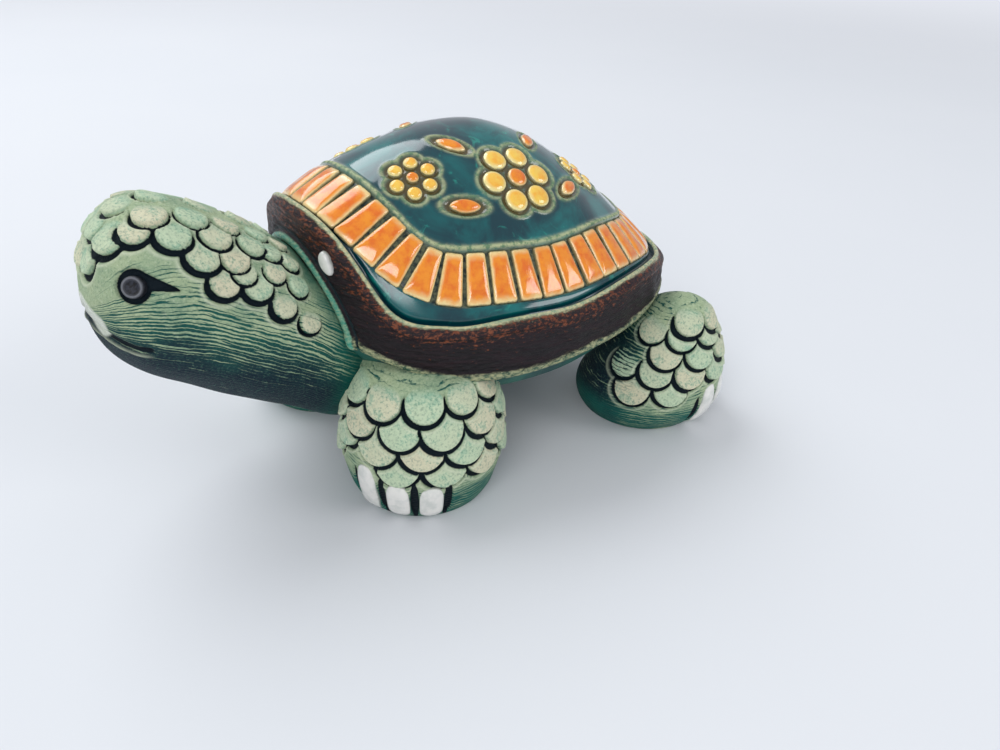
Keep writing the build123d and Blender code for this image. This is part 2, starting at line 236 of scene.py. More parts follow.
def grid_faces(rows, columns, start=0):
    """Quads of a closed tube of rings, listed row by row."""
    i = np.arange(rows - 1)[:, None] * columns
    j = np.arange(columns)[None, :]
    k = (j + 1) % columns
    quads = np.stack([i + j, i + k, i + columns + k, i + columns + j], axis=-1)
    return (quads.reshape(-1, 4) + start).tolist()


def tube_piece(name, rings, masks, capped=True):
    """A closed piece from rings of points, of shape (rows, columns, 3)."""
    rows, columns = rings.shape[:2]
    points, faces = rings.reshape(-1, 3), grid_faces(rows, columns)
    masks = {key: np.broadcast_to(value, (rows, columns)).reshape(-1) for key, value in masks.items()}
    for row in (0, rows - 1) if capped else ():
        middle, first = len(points), row * columns
        points = np.vstack([points, rings[row].mean(axis=0)])
        for key, value in masks.items():
            masks[key] = np.append(value, value[first:first + columns].mean())
        for j in range(columns):
            edge = first + j, first + (j + 1) % columns
            faces.append([middle, *(edge if row else edge[::-1])])
    return mesh_piece(name, points, faces, masks)


def mesh_piece(name, points, faces, masks=None):
    """A piece from points and faces, with its faces turned outwards."""
    fans = np.array([(face[0], face[k], face[k + 1]) for face in faces for k in range(1, len(face) - 1)])
    first, second, third = (points[fans[:, corner]] - points.mean(axis=0) for corner in range(3))
    if (np.cross(first, second) * third).sum() < 0:
        faces = [face[::-1] for face in faces]
    mesh = bpy.data.meshes.new(name)
    mesh.from_pydata(points.tolist(), [], faces)
    for key, value in (masks or {}).items():
        mesh.attributes.new(key, "FLOAT", "POINT").data.foreach_set("value", value.astype(np.float32))
    mesh.shade_smooth()
    mesh.validate()
    piece = bpy.data.objects.new(name, mesh)
    bpy.context.scene.collection.objects.link(piece)
    return piece


def place_piece(piece, finish, node):
    """Give a piece its finish, and let it ride on the turtle in the place of its solids."""
    piece.data.materials.append(finish)
    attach(piece, "root")
    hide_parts(node)


# The shell's outline

def outline_arcs():
    """Centre, radius, first and last direction of each arc, counter-clockwise from +X."""
    side_centre = np.array([half_width - side_arc, 0.0])
    end_centre = np.array([0.0, half_length - end_arc])

    # The corner arc is tangent to a side arc and an end arc
    reach_side, reach_end = side_arc - corner_arc, end_arc - corner_arc
    between = end_centre - side_centre
    gap = np.linalg.norm(between)
    along = (reach_side ** 2 - reach_end ** 2 + gap ** 2) / (2 * gap)
    across = np.sqrt(reach_side ** 2 - along ** 2)
    foot = side_centre + between / gap * along
    normal = np.array([-between[1], between[0]]) / gap
    corner = max(foot + normal * across, foot - normal * across, key=np.sum)

    low = np.arctan2(*(corner - side_centre)[::-1])
    high = np.arctan2(*(corner - end_centre)[::-1])
    arcs = []
    for quarter, flip in enumerate(((1, 1), (-1, 1), (-1, -1), (1, -1))):
        turns = [(side_centre, side_arc, 0, low), (corner, corner_arc, low, high),
                 (end_centre, end_arc, high, pi / 2)]
        if quarter % 2:
            turns = [(c, r, pi / 2 - last, pi / 2 - first) for c, r, first, last in reversed(turns)]
        for centre, radius, first, last in turns:
            arcs.append((centre * flip, radius, quarter * pi / 2 + first, quarter * pi / 2 + last))
    return arcs


shell_arcs = outline_arcs()


def outline(turn, let):
    """Points on the shell's outline let out by a length, where its outward direction is turn."""
    turn, let = np.broadcast_arrays(np.mod(turn, 2 * pi), let)
    normal = np.stack([np.cos(turn), np.sin(turn)], axis=-1)
    points = np.zeros(turn.shape + (2,))
    for centre, radius, first, last in shell_arcs:
        inside = (turn >= first - 1e-9) & (turn <= last + 1e-9)
        points[inside] = centre + normal[inside] * (radius + let[inside])[..., None]
    points[..., 1] += shell_y
    return points


def even_turns(count, let, start=None):
    """Directions at equal steps along the outline, counter-clockwise. Where there is a place to start
    from, the steps are measured on the slope of the dome."""
    fine = np.linspace(0, 2 * pi, 20001)
    line = outline(fine, let)
    first = 0
    if start is not None:
        first = np.argmin(np.linalg.norm(line - np.array(start), axis=1))
        line = on_shell(line)
    length = lengths_along(line)
    wanted = np.mod(length[first] + np.arange(count) * length[-1] / count, length[-1])
    return np.interp(wanted, length, fine)


# The dome

ridge_line = natural_spline(stations, ridge_shares)
fall_line = natural_spline(stations, fall_shares)
round_line = natural_spline(stations, round_shares)
seam_line = natural_spline(seam_stations, seam_shares)


def dome_z(x, y):
    """Height of the dome. A low round share gives its arch a flat top with steep flanks."""
    place = (y - shell_y) / half_length
    across = (x / half_width) ** 2
    fall = round_line(place) * across + (1 - round_line(place)) * across ** 2
    return rim_z + (crown_z - rim_z) * (ridge_line(place) - fall_line(place) * fall)


def on_shell(line, rise=0.0):
    """Places seen from above, set on the dome or a rise over it."""
    return np.concatenate([line, dome_z(line[..., :1], line[..., 1:]) + rise], axis=-1)


def dome_normal(x, y):
    step = 0.05 * MM
    slope_x = (dome_z(x + step, y) - dome_z(x - step, y)) / (2 * step)
    slope_y = (dome_z(x, y + step) - dome_z(x, y - step)) / (2 * step)
    return unit(np.stack([-slope_x, -slope_y, np.ones_like(slope_x)], axis=-1))


def dome_plane(x, y, toward):
    """Origin and three directions of the plane that touches the dome above a point."""
    origin = np.array([x, y, dome_z(x, y)])
    normal = dome_normal(x, y)
    along = np.array(toward, float)
    along = unit(along - normal * (normal @ along))
    return origin, along, np.cross(normal, along), normal


def on_dome(plane, across, up, height):
    """Points of a cell's own plane laid on the dome, raised by height."""
    origin, along, beside, normal = plane
    ground = origin + across[..., None] * along + up[..., None] * beside
    for _ in range(4):
        gap = dome_z(ground[..., 0], ground[..., 1]) - ground[..., 2]
        ground = ground + normal * (gap * normal[2])[..., None]
    return ground + dome_normal(ground[..., 0], ground[..., 1]) * height[..., None]


tile_turns = even_turns(tile_count, -border_inset, first_tile)
tile_spots = on_shell(outline(tile_turns, -border_inset))
tile_pitch = np.median(np.linalg.norm(np.diff(tile_spots, axis=0), axis=1))
tile_width = tile_pitch - tile_gap


def round_cells():
    """Each round or oval cell of the field: kind, plane, half length and half width."""
    cells = []
    petal_turns = pi / 2 + np.arange(petal_count) * 2 * pi / petal_count
    for side in (1, -1):
        for (x, y), size in zip(flower_places, flower_sizes):
            centre, along, beside, normal = plane = dome_plane(x * side * MM, y * MM, (1, 0, 0))
            out = size * (1 - petal_share) * MM
            radius = size * petal_share * MM - cell_gap / 2
            for turn in petal_turns:
                spot = centre + along * out * cos(turn) + beside * out * sin(turn)
                cells.append(("petal", (spot, along, beside, normal), radius, radius))
            radius = size * heart_share * MM - cell_gap / 2
            cells.append(("heart", plane, radius, radius))
        for (x, y), turn in zip(leaf_places, leaf_turns):
            toward = (cos(radians(turn)), side * sin(radians(turn)), 0)
            plane = dome_plane(x * side * MM, y * MM, toward)
            cells.append(("leaf", plane, leaf_length / 2, leaf_width / 2))
    return cells


field_cells = round_cells()


def cell_distance(points):
    """How far points on the dome lie outside the nearest round cell."""
    far_off, reach_up = 1.0, 6 * MM
    nearest = np.full(points.shape[:-1], far_off)
    for _, (centre, along, beside, normal), half_long, half_wide in field_cells:
        offset = points - centre
        reach = np.sqrt((offset @ along / half_long) ** 2 + (offset @ beside / half_wide) ** 2)
        out = (reach - 1) * np.sqrt(half_long * half_wide)
        nearest = np.minimum(nearest, np.where(np.abs(offset @ normal) < reach_up, out, far_off))
    return nearest


# Mesh of the dome: a border of rings inside the outline, a field within it, a skirt under the rim
dome_columns = 600
border_reach = 13.5 * MM
border_rings = 74
field_rings = 80
strip_fade = 0.3 * MM
bead_inset = 0.9 * MM
bead_width = 0.55 * MM
channel_bells = ((0.35 * MM, 0.75 * MM), (0.9 * MM, 0.5 * MM))
groove_bell = (0.25 * MM, 0.55 * MM)
halo_bell = (1.25 * MM, 0.4 * MM)
bed_edge = (-0.2 * MM, 0.05 * MM)
dome_wall = 5.0 * MM
skirt_steps = ((2.0, -0.2), (7.0, -0.2), (7.0, -4.8), (2.5, -5.2))
floor_shares = (0.8, 0.6, 0.4, 0.2, 0.02)


def border_slant():
    """Slant length from the shell's edge up to the middle line of the tiles, in each outward direction."""
    turn = np.linspace(0, 2 * pi, 361)
    inset = np.linspace(0, border_inset, 40)[:, None]
    return turn, lengths_along(on_shell(outline(turn, -inset)))[-1]


def make_carapace():
    """The glazed dome, with its clay turned down and in under the rim."""
    turn = even_turns(dome_columns, 0.0)
    middle = np.array([0.0, shell_y])
    border = on_shell(outline(turn, -np.linspace(border_reach, 0, border_rings)[:, None]))
    shares = np.linspace(0.012, 1, field_rings)[:-1, None, None]
    field = on_shell(middle + shares * (border[0, :, :2] - middle))
    points = np.concatenate([field, border])

    # Slant length in from the edge of the shell
    border_in = lengths_along(border[::-1])[::-1]
    field_in = border_in[0] + np.linalg.norm(field - border[0], axis=-1)
    edge_in = np.concatenate([field_in, border_in])

    tile_mid = np.interp(turn, *border_slant())
    tile_out, tile_in = tile_mid - tile_length / 2, tile_mid + tile_length / 2
    strip = smooth(edge_in, tile_out - strip_fade, tile_out)
    strip = strip * (1 - smooth(edge_in, tile_in, tile_in + strip_fade))
    bead = bell(edge_in - tile_in - bead_inset, bead_width)
    channel = np.clip(sum(bell(edge_in - place, width) for place, width in channel_bells), 0, 1)
    out = cell_distance(points)
    groove, halo = (bell(out - place, width) for place, width in (groove_bell, halo_bell))
    inside = 1 - smooth(out, *bed_edge)
    lift = relief(dome_relief, strip=strip, bead=bead, channel=channel, groove=np.maximum(groove, inside),
                  halo=halo, wobble=ripple(points, 16 * MM, 3) * (1 - strip))
    points = points + dome_normal(points[..., 0], points[..., 1]) * lift[..., None]

    # Under the rim the clay turns down and in, and closes on itself
    rim_line = outline(turn, 0.0)
    edge_z = points[-1, :, 2]
    skirts = [np.column_stack([outline(turn, let * MM), edge_z - drop * MM]) for drop, let in skirt_steps]
    skirts += [on_shell(middle + share * (rim_line - middle), -dome_wall) for share in floor_shares]
    cut = np.clip(groove + inside, 0, 1)
    masks = {"strip": strip, "bead": bead, "channel": channel, "groove": cut, "halo": halo}
    blank = np.zeros((len(skirts), dome_columns))
    masks = {key: np.concatenate([value, blank]) for key, value in masks.items()}
    return tube_piece("carapace_glaze", np.concatenate([points, skirts]), masks)


# Cells of glaze

def pillow(plane, shape, crown, rows=7):
    """Rings and rim mask of a crowned cell: its rim dips into its bed, its top swells."""
    shares = np.sin(np.linspace(0, 1, rows) * pi / 2)
    shares[0] = 0.04
    rim = np.append(shares, (1.0, 1.0))
    heights = np.append(crown * (1 - shares ** 4), (-cell_sink, -cell_sink))
    heights[rows - 1] = -0.35 * cell_sink
    middle = shape.mean(axis=0)
    flat = middle + np.append(shares, (1.0, 0.04))[:, None, None] * (shape - middle)
    return on_dome(plane, flat[..., 0], flat[..., 1], heights[:, None]), rim[:, None]


def join_cells(name, cells):
    """One piece from many closed cells, each with its rim mask and its own shade."""
    points, faces, rims, shades = [], [], [], []
    start = 0
    for rings, rim, shade in cells:
        rows, columns = rings.shape[:2]
        count = rows * columns
        first = list(range(start, start + columns))
        points.append(rings.reshape(-1, 3))
        faces += grid_faces(rows, columns, start)
        faces += [first[::-1], [place + count - columns for place in first]]
        rims.append(np.broadcast_to(rim, (rows, columns)).reshape(-1))
        shades.append(np.full(count, shade))
        start += count
    masks = {"rim": np.concatenate(rims), "shade": np.concatenate(shades)}
    return mesh_piece(name, np.vstack(points), faces, masks)


def tile_shape(half_out, half_in):
    """Outline of a tile, wider outside than inside, with round corners, counter-clockwise."""
    places = []
    corners = (-half_out, -1, pi), (half_out, -1, 3 * pi / 2), (half_in, 1, 0), (-half_in, 1, pi / 2)
    for x, end, start in corners:
        for turn in np.linspace(start, start + pi / 2, 5):
            across, up = cos(turn) - np.sign(x), sin(turn) - end
            places.append((x + tile_corner * across, end * tile_length / 2 + tile_corner * up))
    places = np.array(places)
    dense = []
    for place, after in zip(places, np.roll(places, -1, axis=0)):
        count = max(1, int(round(np.hypot(*(after - place)) / (0.5 * MM))))
        dense += [place + (after - place) * k / count for k in range(count)]
    return np.array(dense)


def make_tiles():
    """The ring of border tiles, each a little uneven, as if cut by hand."""
    cells = []
    for number, spot in enumerate(tile_spots):
        before, after = number - 1, (number + 1) % tile_count
        plane = dome_plane(spot[0], spot[1], tile_spots[after] - tile_spots[before])
        turn_step = np.mod(tile_turns[after] - tile_turns[before], 2 * pi) / 2
        narrowing = tile_length * sin(turn_step / 2)
        out_lean, in_lean, _, _ = rng.uniform(-tile_lean, tile_lean, 4)
        shape = tile_shape((tile_width + narrowing) / 2, (tile_width - narrowing) / 2)
        shape[:, 0] += np.interp(shape[:, 1], (-tile_length / 2, tile_length / 2), (out_lean, in_lean))
        cells.append((*pillow(plane, shape, glaze_crown * rng.uniform(0.85, 1.25)), rng.uniform()))
    return join_cells("orange_tiles", cells)


def make_round_cells(kind, name):
    """All cells of a kind. Leaves come to a point at both ends."""
    cells = []
    turn = full_turn(32)
    width = bent(np.sin(turn), 1 / 0.75) if kind == "leaf" else np.sin(turn)
    for cell_kind, plane, half_long, half_wide in field_cells:
        if cell_kind == kind:
            shape = np.column_stack([half_long * np.cos(turn), half_wide * width])
            cells.append((*pillow(plane, shape, glaze_crown * 1.3, rows=9), rng.uniform()))
    return join_cells(name, cells)


# Rim band

band_columns = 1100
band_tuck = 1.5 * MM
band_start = ((-1.5, -3.0, -0.5), (-0.6, -1.2, -0.3), (-0.15, 0.1, -0.15))
crest_radius = 0.5 * MM
crest_out = 0.45 * MM
crest_back_drop = 0.8 * MM
face_top_drop = 1.7 * MM
face_bulge = 0.25 * MM
face_top_step = 0.3 * MM
lip_step = 0.42 * MM
lip_rise = 0.4 * MM
lip_out = 0.1 * MM
lip_turn_in = 1.2 * MM
lip_height = 0.6 * MM
neck_front = -18 * MM
collar_bell = (1.0 * MM, 0.95 * MM)
seam_bell = (2.7 * MM, 0.4 * MM)


def make_band():
    """The ribbon round the foot of the shell: a cream crest, a rough brown face, a green lower lip."""
    turn = even_turns(band_columns, band_head)
    edge = on_shell(outline(turn, 0.0))
    top_z, crest_z = edge[:, 2], edge[:, 2] + band_ledge
    low_z = seam_z * seam_line((edge[:, 1] - shell_y) / half_length)
    rows, marks = [], []

    def let_at(z):
        return band_foot + (band_head - band_foot) * (z - band_low_z) / (band_high_z - band_low_z)

    def add_row(let, z, mark):
        rows.append(np.column_stack([outline(turn, let), z]))
        marks.append([mark])

    for out, rise, mark in band_start:
        add_row(out * MM, top_z + rise * MM, mark)
    for step in np.linspace(0, 1, 8):
        swing = pi * (1 - step)
        z = crest_z - crest_radius + crest_radius * sin(swing)
        add_row(crest_out + crest_radius * cos(swing), z, -0.1 + 0.07 * step)
    add_row(0.6 * let_at(crest_z), crest_z - crest_back_drop, -0.015)
    face_top, face_low = crest_z - face_top_drop, low_z + lip_rise
    for share in np.linspace(0, 1, 46):
        z = face_top + (face_low - face_top) * share
        bulge = face_bulge * sin(pi * share)
        step_out = lip_step * smooth(share, 0.86, 0.93) - face_top_step * smooth(share, 0.0, 0.08)
        add_row(let_at(z) + bulge + step_out, z, share)
    for step in np.linspace(0, 1, 6)[1:]:
        swing = step * pi / 2
        let = let_at(low_z) + lip_out - lip_turn_in * (1 - cos(swing))
        add_row(let, face_low - lip_height * sin(swing), 1 + 0.1 * step)
    add_row(-band_tuck, low_z + 0.3 * MM, 1.2)

    rings, across = np.array(rows), np.array(marks)
    outward = np.column_stack([np.cos(turn), np.sin(turn), np.zeros(band_columns)])
    collar_out = np.where(rings[..., 1] < neck_front, beyond_head(rings), 1.0)
    collar, seam = (bell(collar_out - place, width) for place, width in (collar_bell, seam_bell))
    rings = rings + outward * relief(band_relief, collar=collar, seam=seam)[..., None]
    on_face = smooth(across, 0.03, 0.12) * (1 - smooth(across, 0.9, 0.98)) * (1 - np.maximum(collar, seam))
    drag = ripple(rings * np.array([1, 1, 5.0]), 4 * MM, 6)
    uneven = relief(band_relief, rough=ripple(rings, 9 * MM, 5), drag=drag)
    rings = rings + outward * (uneven * on_face)[..., None]
    masks = {"across": across, "collar": collar, "seam": seam}
    masks = {key: np.concatenate([values, values[:1]]) for key, values in masks.items()}
    return tube_piece("brown_band", np.concatenate([rings, rings[:1]]), masks, capped=False)


def beyond_band(points):
    """How far points in front of the shell lie outside the band's outer face."""
    fine = np.linspace(pi, 2 * pi, 241)
    line = outline(fine, band_head + 0.6 * MM)
    front = np.interp(points[..., 0], line[:, 0], line[:, 1])
    return front - points[..., 1]


# Scales: overlapping tongues of clay, each undercut with a round gouge

scale_bevel = 0.45 * MM


def staggered(counts):
    """Row, column and turn of scales in rows. Each row is set half a scale round from the one before."""
    for row, count in enumerate(counts):
        for column in range(count):
            yield row, column, (column + 0.5 * (row % 2)) * 2 * pi / count


def scale_masks(points, normals, scales):
    """Lift, gouge, lip and tone masks of overlapping scales. Each has its centre, its normal, the
    direction in which it hangs, its radius and the width of the cut below it."""
    shape = points.shape[:-1]
    level, lift, tone = np.zeros(shape), np.zeros(shape), np.zeros(shape)
    seen = []
    for number, (centre, normal, down, radius, cut) in enumerate(scales):
        offset = points - centre
        a, b = offset @ np.cross(normal, down), offset @ down
        far = np.hypot(a, b) + 1e-9
        near = (np.abs(offset @ normal) < 0.9 * radius) & (normals @ normal > 0.1)
        here = np.where(near & (far < radius), 0.5 + 0.5 * b / radius, 0)
        on_top = here > level
        level = np.where(on_top, here, level)
        lift = np.where(on_top, here * (1 - smooth(far, radius - scale_bevel, radius)), lift)
        tone = np.where(on_top, (number * 0.381966) % 1.0, tone)
        seen.append((near, far, a / far, b / far, radius, cut))
    gouge, lip = np.zeros(shape), np.zeros(shape)
    for near, far, side, drop, radius, cut in seen:
        out = far - radius
        free = near & (out > -0.1 * cut) & (0.5 + 0.5 * drop > level)
        width = cut * (0.3 + 0.7 * smooth(drop, -0.35, 0.75)) * (1 - 0.3 * side)
        end = smooth(drop, -0.5, -0.05)
        gouge = np.maximum(gouge, np.where(free, bell(out - 0.4 * width, 0.52 * width) * end, 0))
        lip = np.maximum(lip, np.where(free, bell(out - 1.3 * width, 0.26 * width) * end, 0))
    return lift, gouge, lip * (1 - gouge), tone


def segment_share(points, start, end):
    """Distance of points from a segment, and how far along it the nearest place lies."""
    start, end = np.array(start) * MM, np.array(end) * MM
    along = end - start
    share = np.clip((points - start) @ along / (along @ along + 1e-18), 0, 1)
    return np.linalg.norm(points - start - share[..., None] * along, axis=-1), share


def surface_normals(points):
    """Outward directions of a tube of rings."""
    round_step = np.roll(points, -1, axis=1) - np.roll(points, 1, axis=1)
    long_step = np.gradient(points, axis=0)
    normals = unit(np.cross(round_step, long_step) + 1e-12)
    outward = points - points.mean(axis=1, keepdims=True)
    return normals if (normals * outward).sum() > 0 else -normals


# Head and neck

head_knots = np.arange(len(head_y))
head_curves = [natural_spline(head_knots, values) for values in (head_y, head_z, head_heights, head_widths)]
eye_spot = (12.8, -61.7, 54.1)
eye_tail = ((12.9, -60.8, 55.0), (15.7, -55.0, 52.7))
mouth_line = np.array([(0.0, -67.8, 45.4), (6.0, -66.7, 44.8), (10.8, -64.4, 43.3), (13.5, -61.4, 42.3)])
beak_patch = ((0.0, -67.6, 47.3), (6.4, -66.6, 45.6))
chin_drop = (0.0, 0.0, 1.5)
mouth_width = 0.7 * MM
chin_width = 0.32 * MM
socket_inner_edge = (1.5 * MM, 2.1 * MM)
socket_outer_edge = (2.85 * MM, 3.2 * MM)
eye_tail_edge = (1.6 * MM, 2.2 * MM)
eye_tail_widths = (1.9, 0.15)
brow_bell = (3.7 * MM, 0.35 * MM)
beak_edge = (1.7 * MM, 2.3 * MM)
head_scales = (
    (1.8, -65.4, 56.1, 3.0), (4.9, -62.1, 60.5, 3.2), (7.6, -58.5, 61.8, 2.9), (10.5, -52.6, 60.9, 3.1),
    (13.2, -49.1, 57.3, 3.1), (15.7, -47.1, 52.4, 2.8), (15.5, -41.4, 50.1, 2.7), (16.6, -37.6, 45.5, 2.6),
    (0.0, -62.4, 60.8, 3.0), (0.0, -58.4, 63.5, 3.2), (6.1, -55.0, 63.4, 3.2), (6.0, -48.2, 61.7, 3.0),
    (9.5, -45.7, 58.8, 3.0), (12.7, -43.7, 55.2, 2.7), (9.0, -39.5, 55.6, 2.6), (13.0, -37.2, 51.0, 2.4),
    (0.0, -52.3, 64.1, 3.2), (0.0, -44.7, 60.6, 3.0), (5.5, -42.5, 58.7, 2.7), (9.2, -36.0, 53.6, 2.3),
    (0.0, -38.0, 56.5, 2.8), (4.6, -37.0, 55.6, 2.4), (15.6, -42.6, 54.0, 2.4),
    (16.9, -33.4, 41.0, 2.4), (13.4, -33.0, 47.6, 2.4), (9.4, -32.4, 51.0, 2.3), (4.8, -32.8, 53.2, 2.3),
    (0.0, -33.3, 53.8, 2.4),
)
outer_scales = 8
outer_cut = 1.15 * MM
inner_cut = 0.7 * MM


def head_rings(rows, columns):
    """Oval rings of the head and neck, at equal steps along its top."""
    fine = np.linspace(0, len(head_y) - 1, 2001)
    y, z, height = (curve(fine) for curve in head_curves[:3])
    top = z + head_half_height / MM * height
    length = np.concatenate([[0], np.cumsum(np.hypot(np.diff(y), np.diff(top)))])
    place = np.interp(np.linspace(0, length[-1], rows), length, fine)
    y, z, height, width = (curve(place) for curve in head_curves)
    turn = full_turn(columns)[None, :]
    return np.stack([
        head_half_width * width[:, None] * np.cos(turn),
        np.broadcast_to((y * MM)[:, None], (rows, columns)),
        (z * MM)[:, None] + head_half_height * height[:, None] * np.sin(turn),
    ], axis=-1)


head_skin = head_rings(270, 350)
head_normals = surface_normals(head_skin)
flat_skin = head_skin.reshape(-1, 3)
flat_normals = head_normals.reshape(-1, 3)


def on_head(x, y, z):
    """The place on the head nearest to a point, and its outward direction."""
    pick = np.argmin(np.linalg.norm(flat_skin - np.array([x, y, z]) * MM, axis=1))
    return flat_skin[pick], flat_normals[pick]


def beyond_head(points):
    """About how far points lie outside the head and neck."""
    place = np.linspace(0, len(head_y) - 1, 400)
    y, z, height, width = (curve(place) for curve in head_curves)
    middle_z, half_z, half_x = (np.interp(points[..., 1] / MM, y, values) for values in (z, height, width))
    across = points[..., 0] / (head_half_width * half_x)
    up = (points[..., 2] - middle_z * MM) / (head_half_height * half_z)
    return (np.hypot(across, up) - 1) * 0.5 * (half_x * head_half_width + half_z * head_half_height)


def eye_masks(mirrored):
    """The socket with its pointed tail, and the brow round it."""
    eye_out, _ = segment_share(mirrored, eye_spot, eye_spot)
    tail_out, tail_share = segment_share(mirrored, *eye_tail)
    ring = smooth(eye_out, *socket_inner_edge) * (1 - smooth(eye_out, *socket_outer_edge))
    root, tip = eye_tail_widths
    tail_wide = (root - (root - tip) * tail_share) * MM
    tail = 1 - smooth(tail_out, 0.75 * tail_wide, tail_wide + 0.15 * MM)
    socket = np.maximum(ring, tail * smooth(eye_out, *eye_tail_edge))
    place, width = brow_bell
    return socket, bell(eye_out - place, width) * (1 - socket)


def mouth_masks(mirrored):
    """The cut of the mouth, and the lip of clay below it."""
    mouth, chin = np.zeros(mirrored.shape[:-1]), np.zeros(mirrored.shape[:-1])
    for start, end in zip(mouth_line, mouth_line[1:]):
        out, _ = segment_share(mirrored, start, end)
        mouth = np.maximum(mouth, bell(out, mouth_width))
        out, _ = segment_share(mirrored, start - chin_drop, end - chin_drop)
        chin = np.maximum(chin, bell(out, chin_width))
    return mouth, chin


def make_head():
    """Head and neck: scales from the brow back, eye sockets, a mouth and a pale beak."""
    scales = []
    for side in (1, -1):
        for number, (x, y, z, radius) in enumerate(head_scales):
            if side < 0 and x < 1:
                continue
            centre, normal = on_head(side * x, y, z)
            down = np.array([side * 1.0, -0.45, -1.0]) if x > 0 else np.array([0.0, -1.0, 0.0])
            down = unit(down - normal * (normal @ down))
            cut = outer_cut if number < outer_scales else inner_cut * rng.uniform(0.7, 1.25)
            scales.append((centre, normal, down, radius * rng.uniform(0.96, 1.06) * MM, cut))
    lift, gouge, lip, tone = scale_masks(head_skin, head_normals, scales)

    mirrored = np.concatenate([np.abs(head_skin[..., :1]), head_skin[..., 1:]], axis=-1)
    socket, brow = eye_masks(mirrored)
    mouth, chin = mouth_masks(mirrored)
    beak_out, _ = segment_share(mirrored, *beak_patch)
    beak = 1 - smooth(beak_out, *beak_edge)

    length = head_skin[..., 1]
    turn = full_turn(head_skin.shape[1])
    upward = np.sin(turn)
    # Painted shade as well as stain: the clay darkens towards the underside of the head, and a little on the
    # neck towards the shell
    stain_and_shade = np.clip((0.85 - upward) / 1.5, 0, 1)
    stain_and_shade = np.clip(stain_and_shade + 0.12 * smooth(length, -46 * MM, -28 * MM) * (upward < 0.8), 0, 1)
    neck = smooth(-beyond_band(head_skin), -6.0 * MM, -0.5 * MM) * (1 - np.minimum(2 * lift, 1))
    masks = {
        "lift": lift, "gouge": np.maximum(gouge, np.maximum(socket, mouth)), "tone": tone, "white": beak,
        "lip": np.maximum(lip, 1.2 * chin), "neck": neck, "stain_and_shade": stain_and_shade,
        "around": np.abs(swing_from(turn, -pi / 2)) * head_half_width / MM, "along": length / MM,
    }
    height = relief(head_relief, base=1, lift=lift, gouge=gouge, lip=lip, socket=socket, brow=brow,
                    mouth=mouth, chin=chin, beak=beak, wobble=ripple(head_skin, 14 * MM, 11))
    return tube_piece("head_and_neck_clay", head_skin + head_normals * height[..., None], masks)


# Legs

leg_scale_share = 0.473
leg_radius = 17.0 * MM
leg_rows = 200
leg_columns = 430
slot_half_width = 0.95 * MM
foot_edge = (5.5 * MM, 10.0 * MM)
claw_half_gap = 0.055
claw_crown = 0.55 * MM
claw_dip = 0.2 * MM
claw_root = 1.0 * MM
words = {1: "left", -1: "right"}


def leg_surface(end, side, turn, z, grow=0.0):
    """Points on a leg where its outward direction is turn, at height z."""
    sizes = leg_sizes[end]
    radius = natural_spline(sizes["heights"], sizes["radii"])(z / MM) * MM + grow
    x = sizes["x"] * MM + sizes["lean"] * z + radius * np.cos(turn)
    y = sizes["y"] * MM + radius * np.sin(turn)
    return np.stack([side * x, y, z], axis=-1)


def leg_scales(end, side):
    """The scales of a leg in rows, from the lowest up."""
    sizes = leg_sizes[end]
    scales = []
    for row, column, turn in staggered(sizes["columns"]):
        height = (sizes["scale_rows"][row] + rng.uniform(-0.4, 0.4)) * MM
        if cos(turn) < sizes["bare"] or row == 0 and column in sizes["left_off"]:
            continue
        turn += radians(sizes["toes"]) + rng.uniform(-0.03, 0.03)
        centre, above = leg_surface(end, side, np.full(2, turn), height + np.array([0, 1 * MM]))
        down = unit(centre - above)
        normal = unit(np.cross([-side * sin(turn), cos(turn), 0], down))
        if normal @ np.array([side * cos(turn), sin(turn), 0]) < 0:
            normal = -normal
        middle = np.array([side * (sizes["x"] * MM + sizes["lean"] * height), sizes["y"] * MM, height])
        radius = leg_scale_share * 2 * pi / sizes["columns"][row] * np.linalg.norm(centre - middle)
        cut = rng.uniform(0.8, 1.2) * MM
        scales.append((centre, normal, down, radius * rng.uniform(0.95, 1.05), cut))
    return scales


def make_leg(end, side):
    """A round leg with rows of scales, and slots beside its claws."""
    sizes = leg_sizes[end]
    toes = radians(sizes["toes"])
    z = np.linspace(0, sizes["heights"][-1], leg_rows) * MM
    z, turn = np.meshgrid(z, full_turn(leg_columns), indexing="ij")
    points = leg_surface(end, side, turn, z)
    normals = surface_normals(points)
    lift, gouge, lip, tone = scale_masks(points, normals, leg_scales(end, side))

    # Upright slots beside the claws, widest halfway up
    slot_turns = toes + claw_step * (np.arange(claw_count + 1) - claw_count / 2)
    slot_out = np.abs(swing_from(turn[..., None], slot_turns)).min(axis=-1) * leg_radius
    height_share = np.clip(z / slot_height, 0, 1)
    wide = slot_half_width * np.sqrt(np.clip(4 * height_share * (1 - height_share), 0, 1))
    slots = (1 - smooth(slot_out, 0.6 * wide, wide + 0.25 * MM)) * (z < slot_height)

    # The leg's stain mask is higher near the foot and on its back, away from the toes
    foot = (1 - smooth(z, *foot_edge)) * (1 - np.minimum(lift * 2, 1))
    swing = np.abs(swing_from(turn, toes))
    bare = smooth(swing, 1.4, 2.2) * (1 - 0.85 * smooth(z, 22 * MM, 28 * MM))
    masks = {
        "lift": lift, "gouge": np.maximum(gouge, slots), "lip": lip, "tone": tone, "white": 0,
        "neck": 0.8 * foot, "stain_and_shade": np.clip(0.25 + 0.6 * bare + 0.4 * foot, 0, 1),
        "around": z / MM, "along": swing * leg_radius / MM,
    }
    height = relief(leg_relief, base=1, lift=lift, gouge=gouge, lip=lip, slots=slots,
                    wobble=ripple(points, 10 * MM, 21 + side))
    points = points + normals * (height * smooth(z, 0.3 * MM, 1.5 * MM))[..., None]
    points[..., 2] = np.maximum(points[..., 2], 0)
    return tube_piece(f"{end}_{words[side]}_leg_clay", points, masks)


